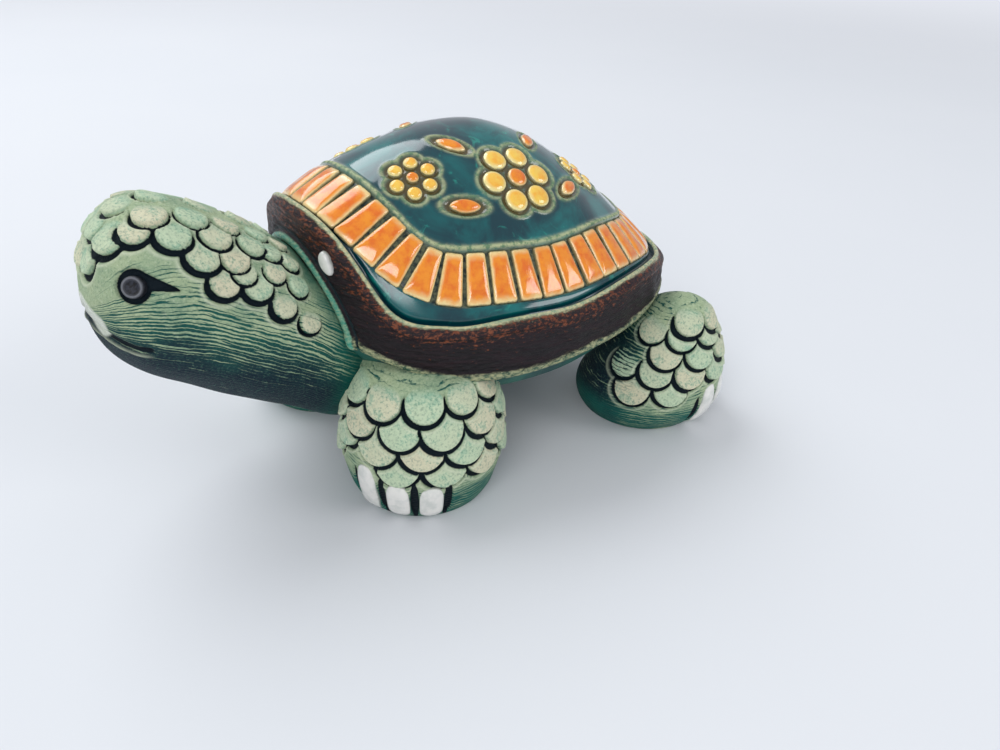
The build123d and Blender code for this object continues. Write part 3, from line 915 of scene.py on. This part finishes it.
def make_claws(end, side):
    """Caps of white glaze between the slots: crowned squares with round corners."""
    sizes = leg_sizes[end]
    half_wide = claw_step / 2 - claw_half_gap
    around = full_turn(64)
    a, b = bent(np.cos(around), 0.7), bent(np.sin(around), 0.55)
    shares = np.sin(np.linspace(0.02, 1, 14) * pi / 2)[:, None]
    base_shares = np.array([[1.0], [0.02]])
    rim = np.concatenate([shares, np.ones((2, 1))])
    cells = []
    for number, claw_top in enumerate(sizes["claws"]):
        middle = radians(sizes["toes"]) + claw_step * (number - (claw_count - 1) / 2)
        half_high = (claw_top * MM - claw_foot) / 2
        z = claw_foot + half_high * (1 + shares * b)
        turn = middle + shares * half_wide * a * (1 - 0.1 * z / slot_height)
        top = leg_surface(end, side, turn, z, claw_crown * (1 - shares ** 5) - claw_dip)
        base_z = claw_foot + half_high * (1 + base_shares * b)
        base = leg_surface(end, side, middle + base_shares * half_wide * a, base_z, -claw_root)
        cells.append((np.concatenate([top, base]), rim, rng.uniform()))
    return join_cells(f"{end}_{words[side]}_claw_caps", cells)


# Small pieces

eye_radii = np.array([0.1, 0.6, 1.0, 1.3, 1.5, 1.67, 1.8, 1.87, 1.87])[:, None] * MM
eye_heights = np.array([-0.2, -0.17, -0.1, 0.0, 0.08, 0.04, -0.14, -0.5, -2.0])[:, None] * MM
drop_shares = np.array([0.03, 0.3, 0.55, 0.75, 0.88, 0.96, 1.0, 1.0])[:, None]
drop_heights = np.array([1.15, 1.13, 1.06, 0.94, 0.76, 0.5, 0.2, -0.4])[:, None] * MM
drop_half_length = 2.4 * MM
drop_half_width = 1.5 * MM
drop_slant = radians(28)
tail_root = np.array([0, 49.0, 27.7]) * MM
tail_tip = np.array([0, 67.3, 17.6]) * MM
tail_radii = (6.6, 2.4)
tail_scale_radius = 2.4 * MM
tail_cut = 0.5 * MM
tail_columns = (7, 7, 7, 7)


def make_eye(side):
    """A round stud with a raised rim and a soft dimple."""
    centre, outward = on_head(side * eye_spot[0], *eye_spot[1:])
    beside = unit(np.cross(outward, (0, 0, 1)))
    axes = beside, np.cross(beside, outward), outward
    turn = full_turn(64)
    rings = set_out(centre, axes, eye_radii * np.cos(turn), eye_radii * np.sin(turn), eye_heights)
    return tube_piece(words[side] + "_eye_stud", rings, {"rim": bell(eye_radii - 1.54 * MM, 0.2 * MM)})


def make_inlay():
    """The drop of white slip on the band: a crowned oval."""
    low, high = (np.array(corner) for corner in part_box("rim_inlay"))
    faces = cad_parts["rim_inlay"].data.polygons
    front = max((face for face in faces if face.normal.y < 0), key=lambda face: face.area)
    normal = np.array(front.normal)
    along = np.array([sin(drop_slant), 0, -cos(drop_slant)])
    along = unit(along - normal * (normal @ along))
    turn = full_turn(72)
    shares = drop_shares * (1 + 0.04 * np.sin(3 * turn + 1))
    steps = drop_half_length * shares * np.cos(turn), drop_half_width * shares * np.sin(turn), drop_heights
    rings = set_out((low + high) / 2, (along, np.cross(normal, along), normal), *steps)
    return tube_piece("white_drop", rings, {"rim": drop_shares})


def make_tail():
    """A short blunt stub with a few soft rings of scales."""
    share = np.linspace(0, 1, 60)[:, None]
    length = tail_tip - tail_root
    along = unit(length)
    above = unit(np.cross(np.cross(along, (0, 0, 1)), along))
    beside = np.cross(along, above)
    root_radius, tip_radius = tail_radii
    blunt = np.sqrt(1 - smooth(share, 0.9, 1.06) ** 2)
    radius = (root_radius + (tip_radius - root_radius) * share) * MM * blunt
    turn = full_turn(90)
    middle = (tail_root + share * length)[:, None]
    round_middle = np.cos(turn)[:, None] * beside + np.sin(turn)[:, None] * above
    rings = middle + radius[..., None] * round_middle
    normals = unit(rings - middle)
    scales = []
    for row, _, toward in staggered(tail_columns):
        place = 0.3 + 0.2 * row
        normal = cos(toward) * beside + sin(toward) * above
        centre = tail_root + place * length + np.interp(place, share[:, 0], radius[:, 0]) * normal
        scales.append((centre, normal, along, tail_scale_radius * (1 - 0.12 * row), tail_cut))
    lift, gouge, lip, tone = scale_masks(rings, normals, scales[::-1])
    masks = {
        "lift": lift, "gouge": gouge, "lip": lip, "tone": tone, "white": 0, "neck": 0, "stain_and_shade": 0.4,
        "around": turn * 5, "along": share * 20,
    }
    rings = rings + normals * relief(tail_relief, lift=lift, gouge=gouge)[..., None]
    return tube_piece("tail_clay", rings, masks)


# Finishes: sums of shader sockets are written as Python expressions

class Wire:
    """An output socket of a finish. Arithmetic on it adds Math nodes."""

    def __init__(self, finish, socket):
        self.finish = finish
        self.socket = socket

    def __add__(self, other):
        return self.finish.math("ADD", self, other)

    __radd__ = __add__

    def __sub__(self, other):
        return self.finish.math("SUBTRACT", self, other)

    def __rsub__(self, other):
        return self.finish.math("SUBTRACT", other, self)

    def __mul__(self, other):
        return self.finish.math("MULTIPLY", self, other)

    __rmul__ = __mul__


class Finish:
    """The nodes of a material, or of the world. Its masks come from the mesh."""

    def __init__(self, name, kind=bpy.data.materials, shader="Principled BSDF"):
        self.owner = kind.new(name)
        self.owner.use_nodes = True
        self.tree = self.owner.node_tree
        self.shader = self.tree.nodes[shader]

    def plug(self, node, values):
        """Give sockets of a node their values or wires."""
        for key, value in values.items():
            if isinstance(value, Wire):
                self.tree.links.new(value.socket, node.inputs[key])
            else:
                node.inputs[key].default_value = value

    def node(self, kind, settings=None, inputs=None, output=0):
        """Any node, from its settings and the values or wires of its sockets."""
        made = self.tree.nodes.new("ShaderNode" + kind)
        for key, value in (settings or {}).items():
            setattr(made, key, value)
        self.plug(made, inputs or {})
        return Wire(self, made.outputs[output])

    def math(self, operation, first, second=0.0):
        return self.node("Math", {"operation": operation}, {0: first, 1: second})

    def mask(self, name):
        return self.node("Attribute", {"attribute_name": name}, output="Fac")

    def noise(self, size, detail=4.0, rough=0.55, stretch=(1, 1, 1), bend=0.0):
        """Cloudy noise of a grain size in metres."""
        spot = self.node("TexCoord", output="Object")
        place = self.node("Mapping", inputs={"Vector": spot, "Scale": stretch})
        return self.node("TexNoise", inputs={
            "Vector": place, "Scale": 1 / size, "Detail": detail, "Roughness": rough, "Distortion": bend})

    def step(self, value, low, high, to_low=0.0, to_high=1.0):
        return self.node("MapRange", {"interpolation_type": "SMOOTHSTEP"}, {
            "Value": value, "From Min": low, "From Max": high, "To Min": to_low, "To Max": to_high})

    def blend(self, share, first, second):
        """A colour between two colours, which are wires or colours as they look on a screen."""
        first, second = (c if isinstance(c, Wire) else (*paint(*c), 1) for c in (first, second))
        return self.node("Mix", {"data_type": "RGBA"}, {0: share, 6: first, 7: second}, output=2)

    def coats(self, colour, *coats):
        """A colour under one coat after another, each given by its share and its colour."""
        for share, coat in coats:
            colour = self.blend(share, colour, coat)
        return colour

    def finish(self, colour, roughness, coat=0.0, height=None, depth=0.1 * MM, strength=1.0, **fixed):
        self.plug(self.shader, {"Base Color": colour, "Roughness": roughness, "Coat Weight": coat,
                                "Coat Roughness": coat_roughness})
        self.plug(self.shader, {key.replace("_", " "): value for key, value in fixed.items()})
        if height is not None:
            relief_inputs = {"Height": height, "Distance": depth, "Strength": strength}
            self.plug(self.shader, {"Normal": self.node("Bump", inputs=relief_inputs)})
        return self.owner


def paint(*screen):
    """The shader's linear colour for one as it looks on a screen, with each share from 0 to 255."""
    shares = np.array(screen) / 255
    return tuple(np.where(shares <= 0.04045, shares / 12.92, ((shares + 0.055) / 1.055) ** 2.4))


coat_roughness = 0.11
brush_pitch = 0.78
channel_teal = (2, 52, 62)


def teal_glaze():
    """Glassy teal in clouds and streaks, olive and matt where it breaks over an edge."""
    f = Finish("teal_glaze")
    cloud = f.noise(14 * MM, 5, 0.6, bend=0.6)
    streak = f.noise(5 * MM, 6, 0.65, bend=1.2)
    speckle = f.noise(1.1 * MM, 5, 0.7)
    strip, bead, halo = f.mask("strip"), f.mask("bead"), f.mask("halo")
    olive = f.blend(f.step(speckle, 0.42, 0.6), (192, 196, 150), (110, 138, 104))
    colour = f.coats(
        f.blend(f.step(cloud, 0.38, 0.66), (0, 54, 64), (0, 108, 108)),
        (f.step(streak, 0.58, 0.74) * 0.55, (40, 172, 152)),
        (f.mask("groove") * f.step(speckle, 0.2, 0.5, 0.75, 1.0), (92, 78, 40)),
        (halo * f.step(speckle, 0.3, 0.62, 0.55, 1.0), olive),
        (strip * 0.95, f.blend(f.step(speckle, 0.36, 0.62), (4, 26, 34), (108, 112, 84))),
        (bead * f.step(speckle, 0.25, 0.55, 0.75, 1.0), olive),
        (f.mask("channel"), channel_teal),
    )
    worn = bead + halo + strip * 0.6
    return f.finish(colour, f.step(worn, 0.1, 0.9, 0.1, 0.5), coat=1 - f.step(worn, 0.1, 0.9),
                    height=speckle * 0.7 * worn + cloud * 0.5, depth=0.18 * MM, strength=0.5,
                    Specular_IOR_Level=0.25)


def cell_glaze(name, middle, deep, edge, start, end):
    """Glaze pooled in a cell: strong in the middle, thin and pale at its rim."""
    f = Finish(name)
    patch = f.noise(2.2 * MM, 4, 0.6)
    fine = f.noise(0.7 * MM, 5, 0.7)
    rim = f.mask("rim")
    thin = rim + (patch - 0.5) * 0.5 + (f.mask("shade") - 0.5) * 0.12
    colour = f.coats(
        f.blend(f.step(patch, 0.35, 0.7), middle, deep),
        (f.step(thin, start, end), edge),
        (f.step(rim + (fine - 0.5) * 0.16, 0.93, 1.0) * 0.8, (120, 116, 88)),
    )
    return f.finish(colour, f.step(rim, 0.8, 1.0, 0.09, 0.35), coat=1.0, height=patch + fine * 0.3,
                    depth=0.12 * MM, strength=0.35)


def brown_clay():
    """The band: rough dark slip with rusty flecks, a cream crest and a green lower lip."""
    f = Finish("brown_band_clay")
    across, collar = f.mask("across"), f.mask("collar")
    fleck = f.noise(1.1 * MM, 6, 0.78, stretch=(1, 1, 2.0))
    drag = f.noise(3.0 * MM, 5, 0.65, stretch=(0.3, 0.3, 3.2))
    flecked, dragged = fleck - 0.5, drag - 0.5
    upper = f.step(across + dragged * 0.8, 0.0, 0.42, 0.1, -0.02)
    crest = f.step(across + dragged * 0.05 + flecked * 0.05, -0.045, -0.02, 1.0, 0.0)
    channel = f.step(across, -0.11, -0.085, 1.0, 0.0)
    lip = f.step(across + dragged * 0.16 + flecked * 0.12, 0.86, 0.93)
    colour = f.coats(
        f.blend(f.step(drag, 0.42, 0.62), (12, 5, 12), (32, 15, 23)),
        (f.step(fleck + upper, 0.59, 0.7) * 0.9, (142, 76, 44)),
        (f.step(fleck + drag * 0.2, 0.78, 0.86) * 0.8, (196, 160, 124)),
        (f.step(fleck, 0.32, 0.42, 1.0, 0.0), (8, 4, 12)),
        (crest, f.blend(f.step(fleck, 0.38, 0.62), (216, 206, 160), (138, 168, 138))),
        (channel, channel_teal),
        (lip, f.blend(f.step(fleck, 0.38, 0.6), (36, 82, 68), (178, 180, 138))),
        (f.step(across, 1.0, 1.05), (4, 48, 54)),
        (f.step(collar + flecked * 0.3, 0.3, 0.6),
         f.blend(f.step(fleck, 0.4, 0.64), (74, 160, 138), (158, 186, 152))),
        (f.step(f.mask("seam"), 0.4, 0.8), (6, 34, 40)),
    )
    gloss = f.step(crest + channel + lip + collar, 0.2, 0.9)
    rough = f.step(drag, 0.4, 0.62, 0.34, 0.56)
    return f.finish(colour, rough - 0.2 * gloss, coat=channel, height=fleck + drag * 0.8, depth=0.4 * MM,
                    Specular_IOR_Level=0.35)


def sage_clay():
    """Stained clay: pale sage where it is rubbed, dark teal in every cut, with fine brushed lines. Its stain
    mask also holds painted shade, so the clay is paler on top and darker teal underneath.
    """
    f = Finish("sage_clay")
    cloud = f.noise(9 * MM, 5, 0.6)
    grain = f.noise(0.5 * MM, 5, 0.72)
    blotch = f.noise(2.6 * MM, 5, 0.7)
    clouded, grainy = cloud - 0.5, grain - 0.5
    stain_and_shade, lift, white = f.mask("stain_and_shade"), f.mask("lift"), f.mask("white")
    wave = f.mask("around") + cloud * 2.2
    strokes = f.node("CombineXYZ", inputs={"X": f.mask("along") * 0.12, "Y": wave, "Z": 0.0})
    streak = f.node("TexNoise", inputs={"Vector": strokes, "Scale": 1.1, "Detail": 4.0, "Roughness": 0.6})
    line = f.math("SINE", (wave + streak * 1.6) * (2 * pi / brush_pitch))
    brushed = line * 0.2 + (streak - 0.5) * 0.8 + grainy * 0.3
    # Pale sage where the stain is rubbed off, and also where the stain mask is low: painted light on the
    # upper side
    rubbed_and_lit = f.step(brushed + (0.5 - stain_and_shade) * 0.75 + lift * 0.4, -0.09, 0.06)
    pale = f.blend(f.step(cloud, 0.35, 0.68), (174, 190, 152), (146, 170, 138))
    tone = f.step(f.mask("tone") + clouded * 0.6, 0.2, 0.9)
    scale = f.coats(
        f.blend(tone, (192, 210, 178), (214, 210, 180)),
        (f.step(blotch + grainy * 0.7, 0.5, 0.66) * 0.5, (116, 176, 150)),
        (f.step(lift, 0.5, 0.2) * 0.35, (96, 158, 134)),
    )
    colour = f.coats(
        # Darker teal where the stain mask is high, partly painted shade on the underside
        f.blend(f.step(stain_and_shade + clouded * 0.6, 0.45, 0.95), (18, 84, 76), (4, 34, 48)),
        (rubbed_and_lit, f.blend(f.step(lift, 0.05, 0.3), pale, scale)),
        (f.step(grain, 0.5, 0.64) * 0.42, (70, 112, 96)),
        (f.step(grain, 0.46, 0.34) * 0.3 * rubbed_and_lit, (228, 232, 206)),
        (f.mask("lip") * (0.7 - stain_and_shade * 0.2), (212, 220, 192)),
        (f.mask("neck") * f.step(cloud, 0.3, 0.6, 0.35, 0.9), (16, 104, 92)),
        (f.step(f.mask("gouge") + grainy * 0.2, 0.3, 0.52), (2, 20, 30)),
        (white, (222, 228, 214)),
    )
    height = grain * 0.8 + brushed * (0.3 + 0.9 * stain_and_shade) * (1 - lift)
    return f.finish(colour, f.step(white, 0.0, 1.0, 0.6, 0.25), height=height, depth=0.32 * MM, strength=0.85,
                    Specular_IOR_Level=0.2)


def white_glaze():
    """Bright white, thin and greenish at its rim."""
    f = Finish("white_glaze")
    cloud = f.noise(3 * MM, 4)
    colour = f.coats(
        f.blend(f.step(cloud, 0.4, 0.7), (232, 230, 224), (208, 210, 204)),
        (f.step(f.mask("rim") + (cloud - 0.5) * 0.2, 0.96, 1.06) * 0.7, (120, 140, 122)),
    )
    return f.finish(colour, 0.2, coat=0.6, height=cloud, strength=0.3)


def eye_slip():
    """Nearly black slip, rubbed grey on its raised rim."""
    f = Finish("eye_slip")
    grain = f.noise(0.6 * MM, 5, 0.7)
    colour = f.coats(
        f.blend(f.step(grain, 0.4, 0.62), (4, 5, 10), (38, 41, 52)),
        (f.mask("rim") * 0.6, (140, 143, 150)),
    )
    return f.finish(colour, 0.5, height=grain, strength=0.6, Specular_IOR_Level=0.3)


def belly_stain():
    """Dull teal with pale worn specks."""
    f = Finish("belly_stain")
    cloud = f.noise(8 * MM, 5, 0.6)
    grain = f.noise(0.9 * MM, 5, 0.7)
    colour = f.coats(
        f.blend(f.step(cloud, 0.35, 0.65), (12, 70, 70), (40, 104, 92)),
        (f.step(grain, 0.58, 0.72) * 0.5, (150, 168, 140)),
    )
    return f.finish(colour, 0.55, height=grain, depth=0.15 * MM, strength=0.6)


# Floor, lights and camera

def make_camera():
    """The camera, from its yaw, pitch and roll."""
    yaw, pitch, roll = (radians(value) for value in (camera_yaw, camera_pitch, camera_roll))
    forward = np.array([-sin(yaw) * cos(pitch), cos(yaw) * cos(pitch), -sin(pitch)])
    right = np.array([cos(yaw), sin(yaw), 0.0])
    down = np.cross(forward, right)
    right, down = right * cos(roll) + down * sin(roll), -right * sin(roll) + down * cos(roll)
    data = bpy.data.cameras.new("camera")
    data.sensor_width = sensor_width
    data.lens = focal_pixels / picture_width_pixels * sensor_width
    data.clip_start = 1 * MM
    camera = bpy.data.objects.new("camera", data)
    turn = Matrix([list(right), list(-down), list(-forward)]).transposed()
    camera.matrix_world = Matrix.Translation(camera_place) @ turn.to_4x4()
    bpy.context.scene.collection.objects.link(camera)
    bpy.context.scene.camera = camera


def make_floor():
    """A pale floor. Far from the turtle it runs into the backdrop, so that no horizon shows."""
    corners = floor_reach * np.array([(-1, -1, 0), (1, -1, 0), (1, 1, 0), (-1, 1, 0)])
    floor = mesh_piece("floor", corners, [[0, 1, 2, 3]])
    f = Finish("pale_floor")
    colour = f.blend(f.noise(0.2, 3), (228, 230, 233), (222, 225, 229))
    floor.data.materials.append(f.finish(colour, 0.75))
    spot = f.node("TexCoord", output="Object")
    away = f.node("VectorMath", {"operation": "LENGTH"}, {0: spot}, output="Value")
    share = f.step(away, *fade_reach) * f.node("LightPath", output="Is Camera Ray")
    backdrop = f.node("Emission", inputs={"Color": (*backdrop_colour, 1), "Strength": backdrop_light})
    surface = f.node("MixShader", inputs={0: share, 1: Wire(f, f.shader.outputs[0]), 2: backdrop})
    f.plug(f.tree.nodes["Material Output"], {"Surface": surface})


def make_lamp(name, place, size, power, colour=(1, 1, 1)):
    """A soft oval lamp that looks at the turtle."""
    data = bpy.data.lights.new(name, "AREA")
    data.shape = "ELLIPSE"
    data.size, data.size_y = size
    data.energy = power
    data.color = colour
    lamp = bpy.data.objects.new(name, data)
    lamp.location = place
    lamp.rotation_euler = (Vector(lamp_aim) - Vector(place)).to_track_quat("-Z", "Y").to_euler()
    bpy.context.scene.collection.objects.link(lamp)


def make_lights():
    make_lamp("window", (-0.80, -0.20, 1.10), (1.3, 1.1), 11.0, (0.96, 0.98, 1.0))
    make_lamp("front_soft", (0.75, -1.10, 0.80), (0.9, 0.7), 7.5)
    make_lamp("side_soft", (1.10, 0.75, 0.70), (0.8, 0.6), 5.0)
    room = Finish("room", bpy.data.worlds, "Background")
    seen = room.node("LightPath", output="Is Camera Ray")
    strength = room.node("MapRange", inputs={"Value": seen, "To Min": room_light, "To Max": backdrop_light})
    room.plug(room.shader, {"Color": (*backdrop_colour, 1), "Strength": strength})
    bpy.context.scene.world = room.owner
    bpy.context.scene.view_settings.view_transform = "Standard"


make_camera()
make_floor()
make_lights()

glaze = teal_glaze()
orange = cell_glaze("orange_glaze", (244, 146, 18), (230, 108, 2), (246, 218, 150), 0.68, 1.04)
yellow = cell_glaze("yellow_glaze", (250, 206, 84), (248, 176, 52), (246, 232, 160), 0.62, 1.02)
sage = sage_clay()
white = white_glaze()
eye = eye_slip()

place_piece(make_carapace(), glaze, "carapace")
place_piece(make_tiles(), orange, "border_tiles")
place_piece(make_round_cells("petal", "yellow_petals"), yellow, "flower_petals")
place_piece(make_round_cells("heart", "orange_hearts"), orange, "flower_hearts")
place_piece(make_round_cells("leaf", "orange_leaves"), orange, "leaves")
place_piece(make_band(), brown_clay(), "shell_rim")
place_piece(make_head(), sage, "head_and_neck")
place_piece(make_inlay(), white, "rim_inlay")
place_piece(make_tail(), sage, "tail")
for side, word in words.items():
    place_piece(make_eye(side), eye, f"{word}_eye")
    for end in ("front", "rear"):
        place_piece(make_leg(end, side), sage, f"{end}_{word}_leg")
        place_piece(make_claws(end, side), white, f"{end}_{word}_claws")
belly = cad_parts["plastron"]
belly.data.materials.clear()
belly.data.materials.append(belly_stain())
